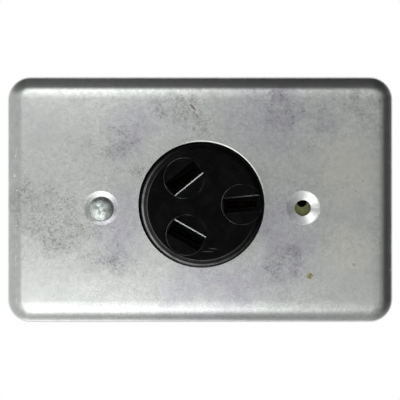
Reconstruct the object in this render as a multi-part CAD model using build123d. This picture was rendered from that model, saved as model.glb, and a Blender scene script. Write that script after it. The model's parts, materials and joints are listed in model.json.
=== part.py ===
from build123d import *
import math
import os

# Frame: X runs along the plate, Z is up, and -Y faces the room.
# The origin is on the socket's axis, in the plane of the wall (y = 0).

# Cover plate, a shallow tray pressed from zinc-coated steel sheet
plate_length = 116.0
plate_height = 74.0
plate_depth = 5.6
plate_sheet = 1.0
plate_corner_radius = 7.0
plate_edge_radius = 4.6
plate_offset_x = -0.55
plate_offset_z = 1.8
opening_clearance = 0.45
opening_offset_x = -0.2
opening_offset_z = 0.25

# The socket sits a little turned behind the plate, which one screw holds
socket_turn = 2.0
cover_screw_play = 0.3

# Dimples pressed in the plate for the two cover screws
cover_screw_pitch = 60.33
dimple_diameter = 9.8
dimple_depth = 1.3
dimple_hole_diameter = 4.8
dimple_blend_radius = 1.1
dimple_land = 1.6

# Cover screw with an oval head and a cross recess
cover_thread_diameter = 3.0
cover_screw_length = 11.5
oval_head_diameter = 6.8
oval_head_rise = 1.0
oval_head_angle = 82.0
recess_span = 3.9
recess_width = 0.95
recess_depth = 1.7
recess_tip_span = 1.3
recess_turn = 20.0

# Round face of the socket, moulded with its flange
face_diameter = 36.8
face_rise = 2.4
face_edge_radius = 2.2
face_wall = 3.6
cup_wall = 1.9
cup_diameter = face_diameter - 2 * cup_wall
body_length = 70.0
body_height = 42.0
body_corner_radius = 4.0
flange_thickness = 4.0
core_clearance = 0.2

# Slot inserts, one round bush in the face for each blade
insert_diameter = 12.3
insert_clearance = 0.1
insert_lip_diameter = 14.0
insert_lip_thickness = 1.2
insert_edge_chamfer = 0.22
channel_width = 4.3
channel_length = 10.9
channel_edge_width = 0.35
channel_edge_depth = 0.4

# Where each blade enters: its centre as shares of the face's radius,
# then the angle of the blade and the turn of its insert
face_radius = face_diameter / 2
blade_places = {
    "upper": {"share_x": -0.277, "share_z": 0.451, "angle": 30.0, "insert_angle": 37.0},
    "lower": {"share_x": -0.272, "share_z": -0.467, "angle": -30.0, "insert_angle": -31.5},
    "right": {"share_x": 0.6386, "share_z": -0.005, "angle": 0.0, "insert_angle": 3.5},
}

# Contact block behind the face and the cover that closes it
blade_slot_width = 2.0
blade_slot_length = 9.6
nose_wall = 2.6
block_depth = 17.0
pocket_clearance = 0.2
rear_cover_thickness = 3.0
rear_edge_radius = 1.6

# Contacts, forks folded from brass strip
contact_sheet = 0.9
contact_width = 8.4
fork_spread = 4.2
fork_pinch = 2.1
fork_mouth = 3.5
fork_mouth_length = 3.6
fork_slope_length = 5.4
fork_bend_radius = 0.9
fork_tip_gap = 0.3
tail_width = 5.0
pad_width = 8.4
pad_length = 9.0
pad_corner_radius = 0.8
bend_radius = 0.6
terminal_height = 16.6
terminal_y = 12.0

# Where each terminal sits: how far beside its blade, and above or below
terminal_places = {
    "upper": {"offset": -4.4, "side": 1},
    "lower": {"offset": -4.5, "side": -1},
    "right": {"offset": 0.0, "side": -1},
}

# Spring bands that back the contact forks
spring_sheet = 0.5
spring_height = 6.0
spring_clearance = 0.05
spring_setback = 1.4

# Terminal screws on the long sides of the block
terminal_thread_diameter = 4.1
terminal_screw_length = 6.0
terminal_head_diameter = 8.0
terminal_head_height = 2.3
terminal_recess_width = 10.4
terminal_bore_clearance = 0.05

# Screws that hold the body to the strap
assembly_pitch = 46.4
assembly_thread_diameter = 2.9
assembly_head_diameter = 5.2
assembly_head_height = 1.9
assembly_clearance = 0.2

# Mounting strap, zinc-plated steel
strap_sheet = 1.3
strap_length = 104.0
strap_arm_height = 22.0
strap_middle_length = 50.0
strap_middle_height = 43.0
strap_middle_corner = 5.0
strap_neck_radius = 5.0
strap_end_radius = 3.0
strap_opening_clearance = 0.25
thread_clearance = 0.05
thread_collar_diameter = 5.8
thread_collar_length = 1.5
collar_relief_diameter = 6.4
screw_relief_depth = 8.0
ear_diameter = 10.0
ear_reach = 15.5
ear_inset = 6.2
ear_neck_width = 5.0
ear_hole_diameter = 3.0

# Box screws and the fibre washers under their heads
box_screw_pitch = 83.34
box_slot_width = 4.2
box_slot_length = 7.0
box_thread_diameter = 3.4
box_screw_length = 25.4
box_neck_diameter = 3.0
box_neck_reach = 0.2
box_head_diameter = 6.9
box_head_height = 1.8
washer_diameter = 8.6
washer_thickness = 0.8

# Driving slots of the plain screws
slot_width = 1.0
slot_depth = 0.9
head_dome_share = 0.45

# Planes across the depth of the socket
plate_front_y = -plate_depth
face_front_y = plate_front_y - face_rise
face_back_y = face_front_y + face_wall
insert_back_y = face_back_y + insert_lip_thickness
nose_front_y = insert_back_y + thread_clearance
pocket_front_y = nose_front_y + nose_wall
block_front_y = flange_thickness
block_back_y = block_front_y + block_depth
body_back_y = block_back_y + rear_cover_thickness
fork_back_y = block_back_y - contact_sheet


def slab(sketch, y_front, y_back):
    """Extrude a sketch of the XZ plane between two depths."""
    return extrude(Plane.XZ.offset(-y_back) * sketch, y_back - y_front)


def turned(profile):
    """Revolve a profile, drawn as radius and depth, about the Y axis."""
    return revolve(profile, Axis.Y)


def rod(diameter, y_front, y_back):
    """Make a plain cylinder along Y."""
    return slab(Circle(diameter / 2), y_front, y_back)


def left_screw_place():
    """Give the X and Z of the left cover screw, tapped in the turned strap."""
    turn = math.radians(socket_turn)
    reach = cover_screw_pitch / 2
    return -reach * math.cos(turn), -reach * math.sin(turn)


def blade_centre(name):
    """Give the X and Z of the middle of a blade entry."""
    place = blade_places[name]
    return place["share_x"] * face_radius, place["share_z"] * face_radius


def at_blade(name, angle_key):
    """Give the place of a blade entry, turned by one of its angles."""
    centre_x, centre_z = blade_centre(name)
    return Pos(centre_x, 0, centre_z) * Rot(0, -blade_places[name][angle_key], 0)


def terminal_x(name):
    """Give the X of a terminal, beside the blade that it serves."""
    return blade_centre(name)[0] + terminal_places[name]["offset"]


def tray(length, height, corner_radius, edge_radius, y_front, y_back):
    """Make a rounded block whose front edge is rolled over."""
    block = slab(RectangleRounded(length, height, corner_radius), y_front, y_back)
    front_edges = block.faces().sort_by(Axis.Y)[0].edges()
    return fillet(front_edges, edge_radius)


def dimple():
    """Make one pressed dimple as a turned ring of sheet."""
    outer = dimple_diameter / 2
    inner = dimple_hole_diameter / 2
    land = outer + dimple_land
    front = plate_front_y
    profile = make_face(
        Polyline(
            (inner, front + dimple_depth),
            (outer, front),
            (land, front),
            (land, front + plate_sheet),
            (outer, front + plate_sheet),
            (inner, front + dimple_depth + plate_sheet),
            close=True,
        )
    )
    bends = profile.vertices().filter_by(lambda v: abs(v.X - outer) < 1e-6)
    return turned(fillet(bends, dimple_blend_radius))


def cover_plate():
    """Make the pressed plate with its round opening and two dimples."""
    centre = Pos(plate_offset_x, 0, plate_offset_z)
    shell = tray(
        plate_length, plate_height, plate_corner_radius, plate_edge_radius, plate_front_y, 0
    )
    hollow = tray(
        plate_length - 2 * plate_sheet,
        plate_height - 2 * plate_sheet,
        plate_corner_radius - plate_sheet,
        plate_edge_radius - plate_sheet,
        plate_front_y + plate_sheet,
        0,
    )
    plate = centre * shell - centre * hollow
    opening = rod(face_diameter + 2 * opening_clearance, plate_front_y, 0)
    plate -= Pos(opening_offset_x, 0, opening_offset_z) * opening
    seat = rod(dimple_diameter + 2 * dimple_land, plate_front_y, 0)
    left_x, left_z = left_screw_place()
    for place_x in (left_x, left_x + cover_screw_pitch):
        place = Pos(place_x, 0, left_z + cover_screw_play)
        plate -= place * seat
        plate += place * dimple()
    return plate


def cross_recess(y_front, depth):
    """Make the tapered cross that a screwdriver enters."""
    arms = Rectangle(recess_span, recess_width) + Rectangle(recess_width, recess_span)
    taper = make_face(
        Polyline(
            (0, y_front),
            (recess_span / 2, y_front),
            (recess_tip_span / 2, y_front + depth),
            (0, y_front + depth),
            close=True,
        )
    )
    return slab(arms, y_front, y_front + depth) & turned(taper)


def cover_screw():
    """Make the oval-head screw, seated on the edge of its dimpled hole."""
    head_radius = oval_head_diameter / 2
    shank_radius = cover_thread_diameter / 2
    slope = math.tan(math.radians(oval_head_angle / 2))
    seat_radius = dimple_hole_diameter / 2 - cover_screw_play - thread_clearance
    seat_y = plate_front_y + dimple_depth
    rim_y = seat_y - (head_radius - seat_radius) / slope
    neck_y = rim_y + (head_radius - shank_radius) / slope
    crown_y = rim_y - oval_head_rise
    tip_y = crown_y + cover_screw_length
    dome_radius = (head_radius**2 + oval_head_rise**2) / (2 * oval_head_rise)
    mid_radius = head_radius / 2
    mid_y = crown_y + dome_radius - math.sqrt(dome_radius**2 - mid_radius**2)
    outline = ThreePointArc((0, crown_y), (mid_radius, mid_y), (head_radius, rim_y))
    outline += Polyline(
        (head_radius, rim_y),
        (shank_radius, neck_y),
        (shank_radius, tip_y),
        (0, tip_y),
        (0, crown_y),
    )
    screw = turned(make_face(outline))
    recess = Rot(0, recess_turn, 0) * cross_recess(crown_y, recess_depth)
    left_x, left_z = left_screw_place()
    return Pos(left_x, 0, left_z) * (screw - recess)


def plain_screw(thread_diameter, length, head_diameter, head_height):
    """Make a slotted screw: head in front of y = 0, shank behind it."""
    head = rod(head_diameter, -head_height, 0)
    crown_edge = head.edges().group_by(Axis.Y)[0]
    head = fillet(crown_edge, head_height * head_dome_share)
    slot = slab(Rectangle(head_diameter, slot_width), -head_height, slot_depth - head_height)
    return head - slot + rod(thread_diameter, 0, length)


def face_envelope():
    """Make the outer form of the round face, with its rounded edge."""
    boss = rod(2 * face_radius, face_front_y, 0)
    front_edge = boss.faces().sort_by(Axis.Y)[0].edges()
    return fillet(front_edge, face_edge_radius)


def insert_bore():
    """Make the hole for one slot insert, with its broken front edge."""
    radius = insert_diameter / 2 + insert_clearance
    rim = radius + insert_edge_chamfer
    profile = make_face(
        Polyline(
            (0, face_front_y),
            (rim, face_front_y),
            (radius, face_front_y + insert_edge_chamfer),
            (radius, face_back_y),
            (0, face_back_y),
            close=True,
        )
    )
    return turned(profile)


def assembly_bores(y_front, y_back):
    """Make the pair of clearance holes for the body screws."""
    hole = rod(assembly_thread_diameter + 2 * assembly_clearance, y_front, y_back)
    return [Pos(side * assembly_pitch / 2, 0, 0) * hole for side in (-1, 1)]


def screw_reliefs(y_front, y_back):
    """Make the pair of holes that clear the cover screws and their collars."""
    hole = rod(collar_relief_diameter, y_front, y_back)
    return [Pos(side * cover_screw_pitch / 2, 0, 0) * hole for side in (-1, 1)]


def face_housing():
    """Make the moulded front: a round cup on a flange behind the strap."""
    outline = RectangleRounded(body_length, body_height, body_corner_radius)
    housing = face_envelope() + slab(outline, 0, flange_thickness)
    housing -= rod(cup_diameter, face_back_y, flange_thickness)
    for name in blade_places:
        housing -= at_blade(name, "angle") * insert_bore()
    for bore in assembly_bores(0, flange_thickness) + screw_reliefs(0, flange_thickness):
        housing -= bore
    return housing


def slot_insert(name):
    """Make one round insert with the wide channel that guides the blade."""
    place = at_blade(name, "insert_angle")
    radius = insert_diameter / 2
    lip_radius = insert_lip_diameter / 2
    lip_front_y = face_back_y + thread_clearance
    profile = make_face(
        Polyline(
            (0, face_front_y),
            (radius - insert_edge_chamfer, face_front_y),
            (radius, face_front_y + insert_edge_chamfer),
            (radius, lip_front_y),
            (lip_radius, lip_front_y),
            (lip_radius, insert_back_y),
            (0, insert_back_y),
            close=True,
        )
    )
    bush = place * turned(profile)
    cup = rod(cup_diameter - 2 * core_clearance, face_back_y, insert_back_y)
    bush &= face_envelope() - rod(face_diameter, face_back_y, 0) + cup
    half = channel_width / 2
    wide = half + channel_edge_width
    edge_y = face_front_y + channel_edge_depth
    section = make_face(
        Polyline(
            (face_front_y, -wide),
            (face_front_y, wide),
            (edge_y, half),
            (insert_back_y, half),
            (insert_back_y, -half),
            (edge_y, -half),
            close=True,
        )
    )
    channel = extrude(Plane.YZ * section, channel_length / 2, both=True)
    return bush - place * channel


def fork_pocket():
    """Make the pocket that takes one contact fork and its spring band."""
    half_height = fork_spread / 2 + contact_sheet / 2 + spring_sheet + pocket_clearance
    left = contact_width / 2 + pocket_clearance
    right = left + spring_sheet + spring_clearance
    outline = Pos((right - left) / 2, 0) * Rectangle(left + right, 2 * half_height)
    return slab(outline, pocket_front_y, block_back_y)


def terminal_recess(name):
    """Make the side recess of one terminal and the channel of its tail."""
    side = terminal_places[name]["side"]
    pad_seat = terminal_height - contact_sheet / 2 - terminal_bore_clearance
    recess_height = body_height / 2 - pad_seat
    recess = Pos(terminal_x(name), side * (pad_seat + recess_height / 2)) * Rectangle(
        terminal_recess_width, recess_height
    )
    recess_front_y = terminal_y - terminal_recess_width / 2
    cut = slab(recess, recess_front_y, block_back_y)
    start = blade_centre(name)[1]
    reach = side * pad_seat - start
    channel = Pos(terminal_x(name), start + reach / 2) * Rectangle(
        tail_width + 2 * pocket_clearance, abs(reach)
    )
    return cut + slab(channel, recess_front_y, block_back_y)


def contact_block():
    """Make the inner block with blade slots, contact pockets and recesses."""
    outline = RectangleRounded(body_length, body_height, body_corner_radius)
    nose = rod(cup_diameter - 2 * core_clearance, nose_front_y, block_front_y)
    block = nose + slab(outline, block_front_y, block_back_y)
    slot = slab(Rectangle(blade_slot_length, blade_slot_width), nose_front_y, pocket_front_y)
    for name in blade_places:
        block -= at_blade(name, "angle") * slot
        block -= at_blade(name, "angle") * fork_pocket()
        block -= terminal_recess(name)
    for bore in assembly_bores(block_front_y, block_back_y):
        block -= bore
    for relief in screw_reliefs(block_front_y, screw_relief_depth):
        block -= relief
    return block


def rear_cover():
    """Make the moulded cover that closes the block, with sunk screw seats."""
    outline = RectangleRounded(body_length, body_height, body_corner_radius)
    cover = slab(outline, block_back_y, body_back_y)
    rear_edges = cover.faces().sort_by(Axis.Y)[-1].edges()
    cover = fillet(rear_edges, rear_edge_radius)
    for bore in assembly_bores(block_back_y, body_back_y):
        cover -= bore
    seat = rod(
        assembly_head_diameter + 2 * assembly_clearance,
        body_back_y - assembly_head_height,
        body_back_y,
    )
    for side in (-1, 1):
        cover -= Pos(side * assembly_pitch / 2, 0, 0) * seat
    return cover


def contact(name):
    """Make one contact: a sprung fork, a tail and a folded terminal pad."""
    base_y = fork_back_y + contact_sheet / 2
    mouth_y = pocket_front_y + fork_tip_gap
    pinch_y = mouth_y + fork_mouth_length
    straight_y = pinch_y + fork_slope_length
    half_side = [
        (mouth_y, fork_mouth / 2),
        (pinch_y, fork_pinch / 2),
        (straight_y, fork_spread / 2),
        (base_y, fork_spread / 2),
    ]
    other_side = [(y, -z) for y, z in reversed(half_side)]
    centre_line = FilletPolyline(*half_side, *other_side, radius=fork_bend_radius)
    fork_face = trace(centre_line, line_width=contact_sheet)
    fork = extrude(Plane.YZ * fork_face, contact_width / 2, both=True)
    fork = at_blade(name, "angle") * fork

    side = terminal_places[name]["side"]
    start = (base_y, side * blade_centre(name)[1])
    corner = (base_y, terminal_height)
    pad_front_y = terminal_y - pad_length / 2
    end = (pad_front_y + pad_length / 2, terminal_height)
    tail_line = FilletPolyline(start, corner, end, radius=bend_radius + contact_sheet / 2)
    tail_face = trace(tail_line, line_width=contact_sheet)
    tail = extrude(Plane.YZ * tail_face, tail_width / 2, both=True)
    pad_plane = Plane.XY.offset(terminal_height - contact_sheet / 2)
    pad_outline = Pos(0, terminal_y) * RectangleRounded(pad_width, pad_length, pad_corner_radius)
    pad = extrude(pad_plane * pad_outline, contact_sheet)
    thread = Pos(0, terminal_y) * Circle(terminal_thread_diameter / 2 + thread_clearance)
    hole_plane = Plane.XY.offset(terminal_height - contact_sheet)
    hole = extrude(hole_plane * thread, 2 * contact_sheet)
    arm = tail + pad - hole
    if side < 0:
        arm = mirror(arm, Plane.XY)
    return fork + Pos(terminal_x(name), 0, 0) * arm


def contact_spring(name):
    """Make the steel band that wraps one fork on three sides."""
    inner = fork_spread / 2 + contact_sheet / 2 + spring_clearance
    centre = inner + spring_sheet / 2
    end = contact_width / 2 + spring_clearance + spring_sheet / 2
    line = FilletPolyline(
        (-contact_width / 2, centre),
        (end, centre),
        (end, -centre),
        (-contact_width / 2, -centre),
        radius=spring_sheet / 2 + spring_clearance,
    )
    band = trace(line, line_width=spring_sheet)
    back_y = fork_back_y - spring_setback
    return at_blade(name, "angle") * slab(band, back_y - spring_height, back_y)


def terminal_screw(name):
    """Make one terminal screw, its head on the outer face of the pad."""
    side = terminal_places[name]["side"]
    screw = plain_screw(
        terminal_thread_diameter,
        terminal_screw_length,
        terminal_head_diameter,
        terminal_head_height,
    )
    seat_z = terminal_height + contact_sheet / 2
    return Pos(terminal_x(name), terminal_y, side * seat_z) * Rot(-90 * side, 0, 0) * screw


def mounting_strap():
    """Make the strap with its opening, tapped holes, slots and ears."""
    middle = RectangleRounded(strap_middle_length, strap_middle_height, strap_middle_corner)
    arms = RectangleRounded(strap_length, strap_arm_height, strap_end_radius)
    outline = middle + arms
    edge_x = strap_middle_length / 2
    edge_z = strap_arm_height / 2
    necks = outline.vertices().filter_by(
        lambda v: abs(abs(v.X) - edge_x) < 1e-4 and abs(abs(v.Y) - edge_z) < 1e-4
    )
    outline = fillet(necks, strap_neck_radius)
    for side_x in (-1, 1):
        ear_x = side_x * (strap_length / 2 - ear_inset)
        for side_z in (-1, 1):
            ear = Pos(ear_x, side_z * ear_reach) * Circle(ear_diameter / 2)
            neck = Pos(ear_x, side_z * ear_reach / 2) * Rectangle(ear_neck_width, ear_reach)
            outline += ear + neck
    strap = slab(outline, -strap_sheet, 0)
    strap -= rod(face_diameter + 2 * strap_opening_clearance, -strap_sheet, 0)
    tapped = rod(
        cover_thread_diameter + 2 * thread_clearance, -strap_sheet, thread_collar_length
    )
    collar = rod(thread_collar_diameter, 0, thread_collar_length)
    assembly_hole = rod(assembly_thread_diameter + 2 * thread_clearance, -strap_sheet, 0)
    box_slot = slab(
        SlotOverall(box_slot_length, box_slot_width, rotation=90), -strap_sheet, 0
    )
    ear_hole = rod(ear_hole_diameter, -strap_sheet, 0)
    for side_x in (-1, 1):
        strap += Pos(side_x * cover_screw_pitch / 2, 0, 0) * collar
        strap -= Pos(side_x * cover_screw_pitch / 2, 0, 0) * tapped
        strap -= Pos(side_x * assembly_pitch / 2, 0, 0) * assembly_hole
        strap -= Pos(side_x * box_screw_pitch / 2, 0, 0) * box_slot
        for side_z in (-1, 1):
            ear_x = side_x * (strap_length / 2 - ear_inset)
            strap -= Pos(ear_x, 0, side_z * ear_reach) * ear_hole
    return strap


def assembly_screw(side):
    """Make one body screw, driven from the rear into the strap."""
    seat_y = body_back_y - assembly_head_height
    screw = plain_screw(
        assembly_thread_diameter,
        seat_y + strap_sheet,
        assembly_head_diameter,
        assembly_head_height,
    )
    return Pos(side * assembly_pitch / 2, seat_y, 0) * Rot(180, 0, 0) * screw


def box_screw(side):
    """Make one box screw, its slim neck passing the washer and the strap."""
    head_seat = strap_sheet + washer_thickness
    neck_length = head_seat + box_neck_reach
    screw = plain_screw(box_neck_diameter, neck_length, box_head_diameter, box_head_height)
    screw += rod(box_thread_diameter, neck_length, box_screw_length)
    return Pos(side * box_screw_pitch / 2, -head_seat, 0) * screw


def box_washer(side):
    """Make the fibre washer that carries one box screw over its slot."""
    outline = Circle(washer_diameter / 2)
    outline -= Circle(box_neck_diameter / 2 + thread_clearance)
    washer = slab(outline, -strap_sheet - washer_thickness, -strap_sheet)
    return Pos(side * box_screw_pitch / 2, 0, 0) * washer


def build_pieces():
    """Make every piece of the socket, by the name of its node."""
    socket = {
        "mounting_strap": mounting_strap(),
        "face_housing": face_housing(),
        "contact_block": contact_block(),
        "rear_cover": rear_cover(),
    }
    for name in blade_places:
        socket["slot_insert_" + name] = slot_insert(name)
        socket["contact_" + name] = contact(name)
        socket["contact_spring_" + name] = contact_spring(name)
        socket["terminal_screw_" + name] = terminal_screw(name)
    for label, side in (("left", -1), ("right", 1)):
        socket["assembly_screw_" + label] = assembly_screw(side)
        socket["box_screw_" + label] = box_screw(side)
        socket["box_washer_" + label] = box_washer(side)
    turn = Rot(0, -socket_turn, 0)
    pieces = {node: turn * piece for node, piece in socket.items()}
    pieces["cover_plate"] = cover_plate()
    pieces["cover_screw_left"] = cover_screw()
    return pieces


os.makedirs("parts", exist_ok=True)
for node, piece in build_pieces().items():
    export_step(piece, os.path.join("parts", node + ".step"))
    print(node, round(piece.volume, 1))
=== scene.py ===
import json
import logging
import math
from collections.abc import Callable
from dataclasses import dataclass
from enum import Enum

import bpy
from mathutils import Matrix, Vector


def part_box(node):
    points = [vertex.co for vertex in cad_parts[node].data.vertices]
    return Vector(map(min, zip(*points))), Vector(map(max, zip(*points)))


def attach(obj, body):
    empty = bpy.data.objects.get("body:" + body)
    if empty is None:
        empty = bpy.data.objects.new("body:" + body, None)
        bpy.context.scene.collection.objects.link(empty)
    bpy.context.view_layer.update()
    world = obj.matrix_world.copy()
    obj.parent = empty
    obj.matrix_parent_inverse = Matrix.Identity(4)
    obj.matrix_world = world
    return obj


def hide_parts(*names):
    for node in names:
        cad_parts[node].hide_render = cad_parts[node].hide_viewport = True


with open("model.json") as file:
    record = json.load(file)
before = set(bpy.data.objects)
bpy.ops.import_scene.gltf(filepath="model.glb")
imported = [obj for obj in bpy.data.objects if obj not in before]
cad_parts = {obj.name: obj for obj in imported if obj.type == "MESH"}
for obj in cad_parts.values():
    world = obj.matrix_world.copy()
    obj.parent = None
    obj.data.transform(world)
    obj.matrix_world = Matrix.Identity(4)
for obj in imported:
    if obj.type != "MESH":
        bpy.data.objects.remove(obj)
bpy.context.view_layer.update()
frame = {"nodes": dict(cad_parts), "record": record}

LOG = logging.getLogger("power_socket")
BODY = "root"
MM = 0.001

# Corners this near to each other are one corner, in metres
JOIN_WITHIN = 1e-6

# Places on the CAD model, in millimetres
FACE_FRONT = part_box("face_housing")[0].y / MM
INSERT_LIP_RADIUS = 7.0
DIMPLE_PITCH = 60.33
SCREW_PLAY = 0.3

# The scale that drops a point's depth, so that only its place on the face counts
FLAT = (1.0, 0.0, 1.0)

Triple = tuple[float, float, float]
Colour = Triple
Grades = tuple[tuple[float, float], ...]
Socket = bpy.types.NodeSocket
Feed = float | Triple | Socket


class Slot(Enum):
    """The material slots that the record names."""

    PLATE = "plate_steel"
    SCREW = "screw_steel"
    STRAP = "strap_steel"
    PHENOLIC = "phenolic_black"
    INSERT = "insert_black"
    CONTACT = "contact_brass"
    SPRING = "spring_steel"
    TERMINAL = "terminal_brass"
    FIBRE = "fibre_red"


class Wiring:
    """Adds the nodes of one tree and links them."""

    def __init__(self, tree: bpy.types.NodeTree) -> None:
        """Wraps a node tree.

        Args:
            tree: The tree of a material, a world or a node group.
        """
        self.tree = tree

    def add(self, kind: str, **settings: object) -> bpy.types.Node:
        """Adds one node.

        Args:
            kind: The node's type name.
            **settings: Properties to set on the node.

        Returns:
            The new node.
        """
        node = self.tree.nodes.new(kind)
        for name, value in settings.items():
            setattr(node, name, value)
        return node

    def feed(self, socket: Socket, value: Feed) -> None:
        """Links a socket to an input, or writes a constant on it.

        Args:
            socket: The input socket.
            value: Another node's output, a number or a colour.
        """
        if isinstance(value, Socket):
            self.tree.links.new(value, socket)
        elif isinstance(value, tuple) and len(value) == 3 and socket.type == "RGBA":
            socket.default_value = (*value, 1.0)
        else:
            socket.default_value = value

    def math(self, operation: str, first: Feed, second: Feed = 0.0, clamp: bool = False) -> Socket:
        """Adds a Math node.

        Args:
            operation: The node's operation.
            first: Its first value.
            second: Its second value.
            clamp: Whether the result stays within 0 and 1.

        Returns:
            The result.
        """
        node = self.add("ShaderNodeMath", operation=operation, use_clamp=clamp)
        self.feed(node.inputs[0], first)
        self.feed(node.inputs[1], second)
        return node.outputs[0]

    def _chain(self, operation: str, values: tuple[Feed, ...], clamp: bool) -> Feed:
        """Joins several values by one operation, from the left.

        Args:
            operation: The Math node's operation.
            values: The values.
            clamp: Whether each result stays within 0 and 1.

        Returns:
            The last result, or the value itself where there is only one.
        """
        total = values[0]
        for value in values[1:]:
            total = self.math(operation, total, value, clamp)
        return total

    def times(self, *factors: Feed, clamp: bool = False) -> Feed:
        """Multiplies several values."""
        return self._chain("MULTIPLY", factors, clamp)

    def plus(self, *terms: Feed, clamp: bool = False) -> Feed:
        """Adds several values."""
        return self._chain("ADD", terms, clamp)

    def highest(self, *values: Feed) -> Feed:
        """Gives the highest of several values."""
        return self._chain("MAXIMUM", values, False)

    def minus(self, first: Feed, second: Feed) -> Socket:
        """Subtracts the second value from the first."""
        return self.math("SUBTRACT", first, second)

    def vector(self, operation: str, first: Socket, second: Feed) -> Socket:
        """Adds a Vector Math node.

        Args:
            operation: The node's operation.
            first: Its first vector.
            second: Its second vector.

        Returns:
            The resulting vector, or the number for a dot product or a length.
        """
        node = self.add("ShaderNodeVectorMath", operation=operation)
        self.feed(node.inputs[0], first)
        self.feed(node.inputs["Scale" if operation == "SCALE" else 1], second)
        return node.outputs["Value" if operation in ("DOT_PRODUCT", "LENGTH") else "Vector"]

    def length(self, vector: Socket) -> Socket:
        """Gives the length of a vector."""
        return self.vector("LENGTH", vector, (0.0, 0.0, 0.0))

    def axes(self, vector: Socket) -> bpy.types.NodeOutputs:
        """Splits a vector.

        Args:
            vector: The vector.

        Returns:
            The outputs named X, Y and Z.
        """
        node = self.add("ShaderNodeSeparateXYZ")
        self.feed(node.inputs[0], vector)
        return node.outputs

    def remap(
        self, value: Socket, low: float, high: float, start: float = 0.0, end: float = 1.0
    ) -> Socket:
        """Eases a value from one range to another.

        Args:
            value: The value to read.
            low: Where the ease starts.
            high: Where the ease ends.
            start: The result at low.
            end: The result at high.

        Returns:
            The eased value.
        """
        node = self.add("ShaderNodeMapRange", interpolation_type="SMOOTHSTEP")
        for name, number in zip(
            ("From Min", "From Max", "To Min", "To Max"), (low, high, start, end)
        ):
            node.inputs[name].default_value = number
        self.feed(node.inputs["Value"], value)
        return node.outputs["Result"]

    def mix(self, factor: Feed, first: Feed, second: Feed, blend: str = "MIX") -> Socket:
        """Mixes two colours.

        Args:
            factor: How much of the second colour shows.
            first: The first colour.
            second: The second colour.
            blend: The blend type.

        Returns:
            The mixed colour.
        """
        node = self.add("ShaderNodeMix", data_type="RGBA", blend_type=blend)
        node.clamp_factor = True
        self.feed(node.inputs["Factor"], factor)
        self.feed(node.inputs[6], first)
        self.feed(node.inputs[7], second)
        return node.outputs[2]

    def place(
        self,
        vector: Socket,
        scale: Triple = (1.0, 1.0, 1.0),
        turn: Triple = (0.0, 0.0, 0.0),
        shift: Triple = (0.0, 0.0, 0.0),
    ) -> Socket:
        """Adds a Mapping node.

        Args:
            vector: The coordinates to read.
            scale: The scale along each axis.
            turn: The turn about each axis, in degrees.
            shift: The shift along each axis, after the scale and the turn.

        Returns:
            The mapped coordinates.
        """
        node = self.add("ShaderNodeMapping")
        self.feed(node.inputs["Vector"], vector)
        node.inputs["Location"].default_value = shift
        node.inputs["Rotation"].default_value = tuple(math.radians(angle) for angle in turn)
        node.inputs["Scale"].default_value = scale
        return node.outputs["Vector"]

    def noise(
        self, vector: Socket, scale: float, detail: float = 3.0, rough: float = 0.5
    ) -> Socket:
        """Adds a Noise Texture.

        Args:
            vector: The coordinates to read.
            scale: The pattern's scale.
            detail: The number of octaves.
            rough: How strong the fine octaves are.

        Returns:
            The noise value.
        """
        node = self.add("ShaderNodeTexNoise")
        self.feed(node.inputs["Vector"], vector)
        node.inputs["Scale"].default_value = scale
        node.inputs["Detail"].default_value = detail
        node.inputs["Roughness"].default_value = rough
        return node.outputs["Fac"]

    def drift(self, vector: Socket, scale: float, amount: float) -> Socket:
        """Pushes coordinates about unevenly, so that a pattern's outline is ragged.

        Args:
            vector: The coordinates to push.
            scale: The scale of the unevenness.
            amount: How far they move at most.

        Returns:
            The pushed coordinates.
        """
        noise = self.noise(vector, scale, 4.0, 0.6).node.outputs["Color"]
        centred = self.vector("SUBTRACT", noise, (0.5, 0.5, 0.5))
        return self.vector("ADD", vector, self.vector("SCALE", centred, amount))

    def cells(self, vector: Socket) -> Socket:
        """Adds a Voronoi Texture with cells about 1 wide.

        Args:
            vector: The coordinates to read.

        Returns:
            The random colour of each cell.
        """
        node = self.add("ShaderNodeTexVoronoi")
        self.feed(node.inputs["Vector"], vector)
        node.inputs["Scale"].default_value = 1.0
        return node.outputs["Color"]

    def bump(
        self, height: Socket, strength: float, distance: float, normal: Socket | None = None
    ) -> Socket:
        """Adds a Bump node.

        Args:
            height: The height of the surface.
            strength: The strength of the bump.
            distance: The real height that 1 stands for, in metres.
            normal: The normal that it bends, or none for the surface's own.

        Returns:
            The bent normal.
        """
        node = self.add("ShaderNodeBump")
        node.inputs["Strength"].default_value = strength
        node.inputs["Distance"].default_value = distance
        self.feed(node.inputs["Height"], height)
        if normal:
            self.feed(node.inputs["Normal"], normal)
        return node.outputs["Normal"]

    def millimetres(self) -> Socket:
        """Gives the object's own coordinates in millimetres."""
        coordinates = self.add("ShaderNodeTexCoord")
        return self.place(coordinates.outputs["Object"], scale=(1.0 / MM,) * 3)

    def facing(self) -> Socket:
        """Gives the plain surface's own normal."""
        return self.add("ShaderNodeNewGeometry").outputs["Normal"]

    def grey(self, value: Socket) -> Socket:
        """Turns a number into a grey.

        Args:
            value: The grey's level.

        Returns:
            The colour.
        """
        node = self.add("ShaderNodeCombineColor")
        for channel in node.inputs:
            self.feed(channel, value)
        return node.outputs["Color"]

    def around(self, place: Socket, x: float, z: float) -> Socket:
        """Gives the distance from an axis that runs along Y."""
        return self.length(self.place(place, scale=FLAT, shift=(-x, 0.0, -z)))

    def ring(self, reach: Socket, low: float, high: float, soft: float) -> Socket:
        """Gives 1 between two distances, with soft sides of that width."""
        rise = self.remap(reach, low - soft, low)
        return self.times(rise, self.remap(reach, high + soft, high))

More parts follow.
